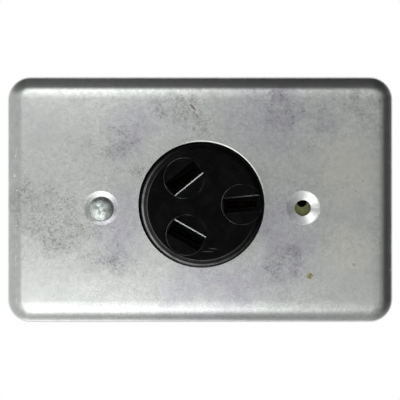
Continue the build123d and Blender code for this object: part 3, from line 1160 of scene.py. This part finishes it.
@dataclass(frozen=True)
class SlotInsert(Phenolic):
    """The black bush round one blade slot, its channel's edges painted pale as highlights where
    they face the light.
    """

    name: str = "black_insert"
    # The pale colour of wear, scratches and the painted highlights on the channel's edges
    rubbed: Colour = (0.34, 0.35, 0.35)
    x: float = 0.0
    z: float = 0.0
    lower_edge_highlight: float = 0.0
    channel_reach: float = 5.85
    channel_soft: float = 0.1
    bevel_depth: float = 0.5

    # Where an edge that faces left gets its painted highlight, where one that faces down does, and
    # how the painted highlight on the lower edge grows from the insert's left to its right
    left_levels: tuple[float, float] = (0.3, 0.5)
    steep_left_levels: tuple[float, float, float, float] = (0.9, 0.65, 0.18, 1.0)
    down_levels: tuple[float, float] = (0.9, 0.99)
    ramp_start: float = -5.0
    ramp_end: float = 4.5
    ramp_level: float = 0.15

    edge_breaks: Noise = Noise(0.8, 3.0, 0.6, low=0.3, high=0.6, start=0.55)
    bush_breaks: Noise = Noise(0.25, 2.0, 0.5, low=0.4, high=0.6, start=0.03, end=0.14)
    least_edge_highlight: float = 0.006

    def rubs_and_highlights(self, w: Wiring, place: Socket, effects: Effects) -> Socket:
        """Finds the painted highlights on the channel's edges that face left and down, and round
        the bush's edge.

        Args:
            w: The material's wiring.
            place: Coordinates in millimetres.
            effects: The shared node groups.

        Returns:
            The mask.
        """
        edges = w.effect(effects.front_edges, "Mask", Depth=self.bevel_depth)
        left, down = (edges.node.outputs[name] for name in ("Left", "Down"))
        reach = w.around(place, self.x, self.z)
        inside = w.remap(reach, self.channel_reach + self.channel_soft, self.channel_reach)
        steep = w.remap(left, *self.steep_left_levels)
        bright = w.times(w.remap(left, *self.left_levels), steep)
        start, end = self.x + self.ramp_start, self.x + self.ramp_end
        ramp = w.remap(w.axes(place)["X"], start, end, self.ramp_level, 1.0)
        under = w.times(w.remap(down, *self.down_levels), w.times(ramp, self.lower_edge_highlight))
        channel = w.times(w.highest(bright, under), inside)
        bush = w.times(w.minus(1.0, inside), self.bush_breaks.mask(w, place))
        # Painted highlight mask of the channel's edges and the bush, with a least level
        rubbed = w.highest(w.plus(channel, bush), self.least_edge_highlight)
        return w.times(edges, self.edge_breaks.mask(w, place), rubbed)


@dataclass(frozen=True)
class Brass(Finish):
    """Rolled or turned brass with a brown tarnish."""

    name: str = "tarnished_brass"
    colour: Colour = (0.72, 0.5, 0.2)
    tarnish: Colour = (0.26, 0.14, 0.06)
    bright: Colour = (0.86, 0.68, 0.36)
    # The near black of the painted shade deep in the block, and how much of the brass it covers
    deep_shade: Colour = (0.008, 0.006, 0.004)
    deep_shade_share: float = 0.96
    roughness: float = 0.3
    amount: float = 0.6
    tarnish_roughness: float = 0.3
    shaded_below: float = 0.0
    mottle: Mottle = Mottle(0.35, 1.2, low=0.4, high=0.68)
    skin: Skin = Skin(3.4, 0.3, 0.00003)
    wear: EdgeWear = EdgeWear(0.00025, gain=3.0)

    def dress(self, w: Wiring, surface: bpy.types.Node, effects: Effects) -> None:
        """Adds the tarnish, the bright edges and the soot deep in the block.

        Args:
            Adds the tarnish, the bright edges and the painted shade deep in the block.
            surface: The shader that they feed.
            effects: The shared node groups.
        """
        clouds = self.mottle.level(w, effects)
        brown = w.times(self.mottle.eased(w, clouds), self.amount)
        tone = w.mix(brown, self.colour, self.tarnish)
        tone = w.mix(self.wear.mask(w, effects), tone, self.bright)
        # Painted shade: the brass goes near black within this height of the middle, deep in the
        # slots
        if self.shaded_below:
            height = w.math("ABSOLUTE", w.axes(w.millimetres())["Z"])
            inside = w.math("LESS_THAN", height, self.shaded_below)
            tone = w.mix(w.times(inside, self.deep_shade_share), tone, self.deep_shade)
        w.feed(surface.inputs["Base Color"], tone)
        surface.inputs["Metallic"].default_value = 1.0
        rough = w.plus(self.roughness, w.times(brown, self.tarnish_roughness))
        w.feed(surface.inputs["Roughness"], rough)
        w.feed(surface.inputs["Normal"], self.skin.normal(w, self.skin.level(w, effects)))


@dataclass(frozen=True)
class PressedFibre(Finish):
    """Dull red fibre board, with short fibres and darker cut edges."""

    name: str = "pressed_fibre"
    colour: Colour = (0.3, 0.085, 0.05)
    dark: Colour = (0.13, 0.035, 0.025)
    rubbed: Colour = (0.42, 0.2, 0.13)
    dust: Colour = (0.4, 0.36, 0.32)
    dust_amount: float = 0.35
    fibres: Noise = Noise(1.4, 4.0, 0.7)
    fibre_stretch: Triple = (0.8, 0.8, 4.0)
    fibre_turn: float = 30.0
    dark_levels: tuple[float, float] = (0.35, 0.7)
    rough_levels: tuple[float, float, float, float] = (0.2, 0.8, 0.75, 0.95)
    relief_strength: float = 0.6
    relief_height: float = 0.00006
    wear: EdgeWear = EdgeWear(0.0003, gain=2.0)

    def dress(self, w: Wiring, surface: bpy.types.Node, effects: Effects) -> None:
        """Adds the board's fibres, clouds and dust.

        Args:
            w: The material's wiring.
            surface: The shader that they feed.
            effects: The shared node groups.
        """
        run = w.place(w.millimetres(), scale=self.fibre_stretch, turn=(0.0, self.fibre_turn, 0.0))
        fibres = self.fibres.level(w, run)
        tone = w.mix(w.remap(fibres, *self.dark_levels), self.colour, self.dark)
        tone = w.mix(self.wear.mask(w, effects), tone, self.rubbed)
        tone = w.mix(w.effect(effects.dust, "Mask", Amount=self.dust_amount), tone, self.dust)
        w.feed(surface.inputs["Base Color"], tone)
        w.feed(surface.inputs["Roughness"], w.remap(fibres, *self.rough_levels))
        relief = w.bump(fibres, self.relief_strength, self.relief_height)
        w.feed(surface.inputs["Normal"], relief)


class Shop:
    """Modelling steps that the pieces share, done with Blender's operators."""

    @staticmethod
    def alone(piece: bpy.types.Object) -> None:
        """Selects one object alone and makes it the active one.

        Args:
            piece: The object.
        """
        bpy.ops.object.select_all(action="DESELECT")
        piece.select_set(True)
        bpy.context.view_layer.objects.active = piece

    @staticmethod
    def copy_of(node: str, name: str) -> bpy.types.Object:
        """Copies a CAD node's mesh into a new piece with joined corners.

        Args:
            node: The CAD node.
            name: The new piece's name.

        Returns:
            The new piece.
        """
        mesh = frame["nodes"][node].data.copy()
        mesh.materials.clear()
        piece = bpy.data.objects.new(name, mesh)
        bpy.context.scene.collection.objects.link(piece)
        Shop.alone(piece)
        bpy.ops.object.mode_set(mode="EDIT")
        bpy.ops.mesh.select_all(action="SELECT")
        bpy.ops.mesh.customdata_custom_splitnormals_clear()
        bpy.ops.mesh.remove_doubles(threshold=JOIN_WITHIN)
        bpy.ops.mesh.normals_make_consistent(inside=False)
        bpy.ops.mesh.select_all(action="DESELECT")
        bpy.ops.object.mode_set(mode="OBJECT")
        return piece

    @staticmethod
    def pick(piece: bpy.types.Object, wanted: Callable[[Vector], bool]) -> None:
        """Selects the vertices that a test wants, and leaves edit mode on.

        Args:
            piece: The mesh object, active and in object mode.
            wanted: Takes a vertex's place and says whether it is wanted.
        """
        bpy.ops.object.mode_set(mode="EDIT")
        bpy.ops.mesh.select_mode(type="VERT")
        bpy.ops.mesh.select_all(action="DESELECT")
        bpy.ops.object.mode_set(mode="OBJECT")
        for vertex in piece.data.vertices:
            vertex.select = wanted(vertex.co)
        bpy.ops.object.mode_set(mode="EDIT")

    @staticmethod
    def settle(piece: bpy.types.Object) -> None:
        """Applies a piece's place, so that its object sits at the origin."""
        Shop.alone(piece)
        bpy.ops.object.transform_apply(location=True, rotation=True, scale=True)


@dataclass
class ThreadedScrew:
    """A slotted box screw with a real thread on its shank, in millimetres."""

    node: str
    name: str
    crest_radius: float = 1.7
    root_radius: float = 1.32
    pitch: float = 0.79
    ridge: float = 0.42
    lead_in: float = 0.7
    tip_chamfer: float = 0.5
    tip_share: float = 0.72
    steps: int = 28
    smooth_angle: float = 32.0

    def _ridge(self, start: float, end: float, x: float, z: float) -> bpy.types.Object:
        """Winds the thread's ridge round the shank.

        Args:
            start: Where the thread starts along Y, in metres.
            end: Where it ends.
            x: The axis's X.
            z: The axis's Z.

        Returns:
            The closed ridge, in its place.
        """
        middle = self.crest_radius - self.ridge
        bpy.ops.object.select_all(action="DESELECT")
        bpy.ops.mesh.primitive_circle_add(
            vertices=3, radius=self.ridge * MM, location=(x, start, z)
        )
        ridge = bpy.context.active_object
        ridge.name = self.name + "_ridge"
        bpy.ops.object.mode_set(mode="EDIT")
        bpy.ops.mesh.select_all(action="SELECT")
        bpy.ops.transform.rotate(
            value=math.radians(90), orient_axis="Z", center_override=(x, start, z)
        )
        bpy.ops.transform.translate(value=(middle * MM, 0, 0))
        bpy.ops.object.mode_set(mode="OBJECT")
        screw = ridge.modifiers.new("thread", "SCREW")
        screw.axis = "Y"
        screw.screw_offset = self.pitch * MM
        screw.iterations = int((end - start) / (self.pitch * MM))
        screw.steps = screw.render_steps = self.steps
        screw.use_smooth_shade = False
        bpy.ops.object.modifier_apply(modifier=screw.name)
        bpy.ops.object.mode_set(mode="EDIT")
        bpy.ops.mesh.select_all(action="SELECT")
        bpy.ops.mesh.remove_doubles(threshold=JOIN_WITHIN / 10)
        bpy.ops.mesh.fill_holes(sides=4)
        bpy.ops.mesh.normals_make_consistent(inside=False)
        bpy.ops.object.mode_set(mode="OBJECT")
        Shop.settle(ridge)
        return ridge

    def build(self) -> bpy.types.Object:
        """Cuts the thread on the plain shank of the CAD screw.

        Returns:
            The threaded screw.
        """
        low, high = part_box(self.node)
        x, z = (low.x + high.x) / 2, (low.z + high.z) / 2
        tip = high.y

        def on_skin(point: Vector, radius: float, share: float) -> bool:
            """Says whether a point lies near a radius about the screw's axis."""
            reach = math.hypot(point.x - x, point.z - z)
            return abs(reach - radius * MM) < share * radius * MM

        piece = Shop.copy_of(self.node, self.name)
        Shop.pick(piece, lambda point: on_skin(point, self.crest_radius, 0.01))
        share = self.root_radius / self.crest_radius
        bpy.ops.transform.resize(value=(share, 1, share), center_override=(x, tip, z))
        bpy.ops.mesh.select_all(action="SELECT")
        bpy.ops.mesh.bisect(plane_co=(x, tip - self.tip_chamfer * MM, z), plane_no=(0, 1, 0))
        bpy.ops.object.mode_set(mode="OBJECT")
        Shop.pick(piece, lambda point: point.y > tip - JOIN_WITHIN)
        bpy.ops.transform.resize(
            value=(self.tip_share, 1, self.tip_share), center_override=(x, tip, z)
        )
        bpy.ops.object.mode_set(mode="OBJECT")
        shank_start = min(
            vertex.co.y
            for vertex in piece.data.vertices
            if on_skin(vertex.co, self.root_radius, 0.02)
        )
        ridge = self._ridge(
            shank_start + self.lead_in * MM, tip - self.pitch * MM, x, z
        )
        Shop.alone(piece)
        ridge.select_set(True)
        bpy.ops.object.join()
        Shop.alone(piece)
        bpy.ops.object.shade_smooth_by_angle(angle=math.radians(self.smooth_angle))
        return piece


@dataclass(frozen=True)
class TentBand:
    """One glow of the tent: its level across times its level upward.

    Each row holds pairs of a direction, from -1 to 1, and a level.
    """

    across: Grades
    upward: Grades


TENT_BANDS = (
    TentBand(
        ((-1.0, 0.56), (-0.7, 0.48), (-0.45, 0.52), (-0.3, 0.5), (-0.2, 0.36), (-0.1, 0.4),
         (0.0, 0.3), (0.07, 0.22), (0.13, 0.4), (0.2, 0.38), (0.3, 0.36), (0.5, 0.3),
         (0.7, 0.2), (0.85, 0.06), (1.0, 0.02)),
        ((-1.0, 0.75), (-0.6, 0.8), (-0.3, 1.0), (0.0, 1.0), (0.08, 0.9), (0.14, 0.8),
         (0.3, 0.8), (0.42, 0.5), (0.55, 0.18), (0.7, 0.05), (1.0, 0.025)),
    ),
    TentBand(
        ((-1.0, 0.0), (-0.45, 0.35), (-0.28, 1.5), (-0.13, 2.05), (0.0, 1.1),
         (0.08, 0.5), (0.15, 0.45), (0.5, 0.1), (1.0, 0.0)),
        ((-1.0, 0.0), (0.02, 0.0), (0.1, 0.16), (0.16, 0.3), (0.21, 1.0), (0.3, 1.15),
         (0.4, 1.0), (0.5, 0.5), (0.6, 0.15), (0.75, 0.05), (1.0, 0.035)),
    ),
    TentBand(
        ((-1.0, 0.0), (-0.45, 0.4), (-0.3, 1.5), (-0.2, 1.95), (-0.13, 1.9), (0.0, 1.4),
         (0.08, 0.85), (0.15, 0.36), (0.3, 0.14), (0.5, 0.08), (1.0, 0.0)),
        ((-1.0, 0.12), (-0.87, 0.35), (-0.75, 0.7), (-0.6, 1.0), (-0.43, 1.1), (-0.23, 1.1),
         (-0.15, 0.65), (-0.1, 0.43), (-0.07, 0.24), (-0.03, 0.0), (1.0, 0.0)),
    ),
)


@dataclass(frozen=True)
class Lamp:
    """A round soft lamp that points at the object, in metres and watts."""

    name: str
    place: Triple
    size: float
    power: float

    def hang(self) -> None:
        """Adds the lamp, which no mirror shows."""
        data = bpy.data.lights.new(self.name, "AREA")
        data.shape = "DISK"
        data.size = self.size
        data.energy = self.power
        lamp = bpy.data.objects.new(self.name, data)
        lamp.location = self.place
        lamp.rotation_euler = (-Vector(self.place)).to_track_quat("-Z", "Y").to_euler()
        lamp.visible_glossy = False
        bpy.context.scene.collection.objects.link(lamp)


@dataclass
class Studio:
    """The floor, the light and the camera, in metres."""

    focal_length: float = 120.0
    camera_place: Triple = (-0.00062, -0.4036, 0.00165)
    surround: float = 0.45
    floor_height: float = -0.85
    floor_size: float = 8.0
    floor_colour: Colour = (0.86, 0.86, 0.86)
    floor_glow: float = 0.9
    tent_radius: float = 0.8
    tent_back: float = 0.55
    highest_grade: float = 4.0
    lamps: tuple[Lamp, ...] = (
        Lamp("key", (-0.5, -0.3, -0.02), 0.25, 5.0),
        Lamp("back_fill", (0.5, 0.7, 0.45), 0.6, 3.0),
        Lamp("side_fill", (0.6, 0.2, 0.05), 0.4, 4.0),
    )

    def build(self) -> None:
        """Sets up everything around the object."""
        self._camera()
        self._world()
        self._floor()
        self._tent()
        for lamp in self.lamps:
            lamp.hang()

    def _camera(self) -> None:
        """Places the camera straight in front, as the photograph was taken."""
        data = bpy.data.cameras.new("camera")
        data.lens = self.focal_length
        data.clip_start = 0.01
        camera = bpy.data.objects.new("camera", data)
        camera.location = self.camera_place
        camera.rotation_euler = (math.radians(90), 0, 0)
        bpy.context.scene.collection.objects.link(camera)
        bpy.context.scene.camera = camera

    @staticmethod
    def _seen_white(w: Wiring) -> Socket:
        """Finds the rays that see plain white: camera, mirror and glass rays.

        Args:
            w: The wiring of the world or the floor.

        Returns:
            The mask, 1 for such a ray.
        """
        path = w.add("ShaderNodeLightPath")
        rays = ("Is Camera Ray", "Is Glossy Ray", "Is Transmission Ray")
        return w.highest(*(path.outputs[ray] for ray in rays))

    def _world(self) -> None:
        """Makes the even surrounding light and the white backdrop."""
        world = bpy.data.worlds.new("studio_world")
        bpy.context.scene.world = world
        world.use_nodes = True
        w = Wiring(world.node_tree)
        background = world.node_tree.nodes["Background"]
        background.inputs["Color"].default_value = (1, 1, 1, 1)
        w.feed(background.inputs["Strength"], w.highest(self._seen_white(w), self.surround))

    def _floor(self) -> None:
        """Lays the pale floor, which keeps the object's shadow."""
        bpy.ops.object.select_all(action="DESELECT")
        bpy.ops.mesh.primitive_plane_add(size=self.floor_size, location=(0, 0, self.floor_height))
        floor = bpy.context.active_object
        floor.name = "floor"
        material = bpy.data.materials.new("pale_floor")
        material.use_nodes = True
        w = Wiring(material.node_tree)
        surface = material.node_tree.nodes["Principled BSDF"]
        w.feed(surface.inputs["Base Color"], self.floor_colour)
        surface.inputs["Roughness"].default_value = 0.9
        surface.inputs["Specular IOR Level"].default_value = 0.0
        blend = w.add("ShaderNodeMixShader")
        w.feed(blend.inputs["Fac"], w.times(self._seen_white(w), self.floor_glow))
        w.feed(blend.inputs[1], surface.outputs[0])
        w.feed(blend.inputs[2], w.add("ShaderNodeEmission").outputs[0])
        w.feed(material.node_tree.nodes["Material Output"].inputs["Surface"], blend.outputs[0])
        floor.data.materials.append(material)

    def _tent(self) -> None:
        """Hangs the light tent in front, graded from its bright left to its dark right."""
        bpy.ops.object.select_all(action="DESELECT")
        bpy.ops.mesh.primitive_uv_sphere_add(segments=48, ring_count=24, radius=self.tent_radius)
        tent = bpy.context.active_object
        tent.name = "light_tent"
        bpy.ops.object.mode_set(mode="EDIT")
        bpy.ops.mesh.select_all(action="SELECT")
        bpy.ops.mesh.bisect(plane_co=(0, self.tent_back, 0), plane_no=(0, 1, 0), clear_outer=True)
        bpy.ops.object.mode_set(mode="OBJECT")
        tent.visible_camera = False
        tent.visible_shadow = False
        material = bpy.data.materials.new("tent_cloth")
        material.use_nodes = True
        nodes = material.node_tree.nodes
        nodes.remove(nodes["Principled BSDF"])
        w = Wiring(material.node_tree)
        coordinates = w.add("ShaderNodeTexCoord")
        direction = w.vector("SCALE", coordinates.outputs["Object"], 1 / self.tent_radius)
        parts = w.axes(direction)
        bands = []
        for band in TENT_BANDS:
            across = self._grade(w, parts["X"], band.across)
            bands.append(w.times(across, self._grade(w, parts["Z"], band.upward)))
        glow = w.add("ShaderNodeEmission")
        w.feed(glow.inputs["Strength"], w.plus(*bands))
        w.feed(nodes["Material Output"].inputs["Surface"], glow.outputs[0])
        tent.data.materials.append(material)

    def _grade(self, w: Wiring, value: Socket, stops: Grades) -> Socket:
        """Grades a value from -1 to 1 through a row of levels.

        Args:
            w: The material's wiring.
            value: The value to read.
            stops: Pairs of value and level, in order.

        Returns:
            The level.
        """
        node = w.add("ShaderNodeFloatCurve")
        curve = node.mapping.curves[0]
        node.mapping.extend = "HORIZONTAL"
        shares = [((place + 1) / 2, level / self.highest_grade) for place, level in stops]
        curve.points[0].location = shares[0]
        curve.points[1].location = shares[-1]
        for share in shares[1:-1]:
            curve.points.new(*share)
        for point in curve.points:
            point.handle_type = "VECTOR"
        node.mapping.update()
        w.feed(node.inputs["Value"], w.times(w.plus(value, 1.0), 0.5))
        return w.times(node.outputs[0], self.highest_grade)


class SocketLooks:
    """The finishes of the CAD nodes that stay, and the pieces that replace some."""

    def __init__(self) -> None:
        """Builds the finishes."""
        effects = Effects()
        finishes = {
            Slot.PLATE: self._sheet(),
            Slot.SCREW: PlatedSteel(
                name="zinc_plated_screw", colour=(0.7, 0.72, 0.7), tint=(0.46, 0.48, 0.46)
            ),
            Slot.STRAP: PlatedSteel(
                name="olive_passivated_strap",
                colour=(0.21, 0.22, 0.1),
                tint=(0.14, 0.14, 0.06),
                bright=(0.55, 0.54, 0.38),
                roughness=0.4,
                stain_amount=0.6,
                shaded_within=24.0,
            ),
            Slot.PHENOLIC: Phenolic(),
            Slot.CONTACT: Brass(name="contact_strip", shaded_below=15.0),
            Slot.TERMINAL: Brass(name="turned_terminal", roughness=0.26, amount=0.45),
            Slot.SPRING: PlatedSteel(
                name="blued_spring",
                colour=(0.24, 0.28, 0.38),
                tint=(0.3, 0.24, 0.2),
                bright=(0.6, 0.62, 0.66),
                roughness=0.28,
                shaded_within=26.0,
            ),
            Slot.FIBRE: PressedFibre(),
        }
        self.materials = {slot: finish.shader(effects) for slot, finish in finishes.items()}

        self.own_looks = {
            node: self._insert(node).shader(effects)
            for node in ("slot_insert_upper", "slot_insert_lower", "slot_insert_right")
        }
        body = Phenolic(name="black_phenolic_body", rear_sheen=0.5).shader(effects)
        self.own_looks |= {"face_housing": body, "rear_cover": body}
        self.own_looks["cover_screw_left"] = PlatedSteel(
            name="worn_cover_screw",
            colour=(0.84, 0.9, 0.88),
            tint=(0.58, 0.64, 0.61),
            bright=(0.95, 0.96, 0.95),
            roughness=0.24,
            stain_amount=0.3,
            skin=Skin(3.0, 0.35, 0.0002),
        ).shader(effects)

    @staticmethod
    def _sheet() -> ZincSheet:
        """Places the plate's two dimples from the screw that is left."""
        low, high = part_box("cover_screw_left")
        x, z = (low.x + high.x) / 2 / MM, (low.z + high.z) / 2 / MM + SCREW_PLAY
        return ZincSheet(dimples=((x, z), (x + DIMPLE_PITCH, z)))

    @staticmethod
    def _insert(node: str) -> SlotInsert:
        """Sizes the finish of one slot insert from its place."""
        low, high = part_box(node)
        return SlotInsert(
            name=node.replace("slot", "black"),
            x=low.x / MM + INSERT_LIP_RADIUS,
            z=(low.z + high.z) / 2 / MM,
            lower_edge_highlight=0.3 if node.endswith("right") else 0.03,
        )

    def dress_nodes(self) -> None:
        """Gives every CAD node the finish of its slot in the record, or its own."""
        for entry in frame["record"]["subparts"]:
            node = frame["nodes"][entry["node"]]
            material = self.own_looks.get(node.name) or self.materials[Slot(entry["material_slot"])]
            for place in node.material_slots:
                place.material = material
            LOG.info("%s: %s", node.name, material.name)

    def thread_screws(self) -> None:
        """Replaces the two box screws by threaded ones."""
        for side in ("left", "right"):
            node = "box_screw_" + side
            piece = ThreadedScrew(node, "threaded_box_screw_" + side).build()
            piece.data.materials.append(self.materials[Slot.SCREW])
            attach(piece, BODY)
            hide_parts(node)
            LOG.info("%s: %d faces", piece.name, len(piece.data.polygons))


def main() -> None:
    """Builds the looks in order."""
    logging.basicConfig(level=logging.INFO, format="%(name)s: %(message)s")
    looks = SocketLooks()
    looks.dress_nodes()
    looks.thread_screws()
    Studio().build()
    bpy.context.scene.view_settings.view_transform = "Standard"


if __name__ == "__main__":
    main()
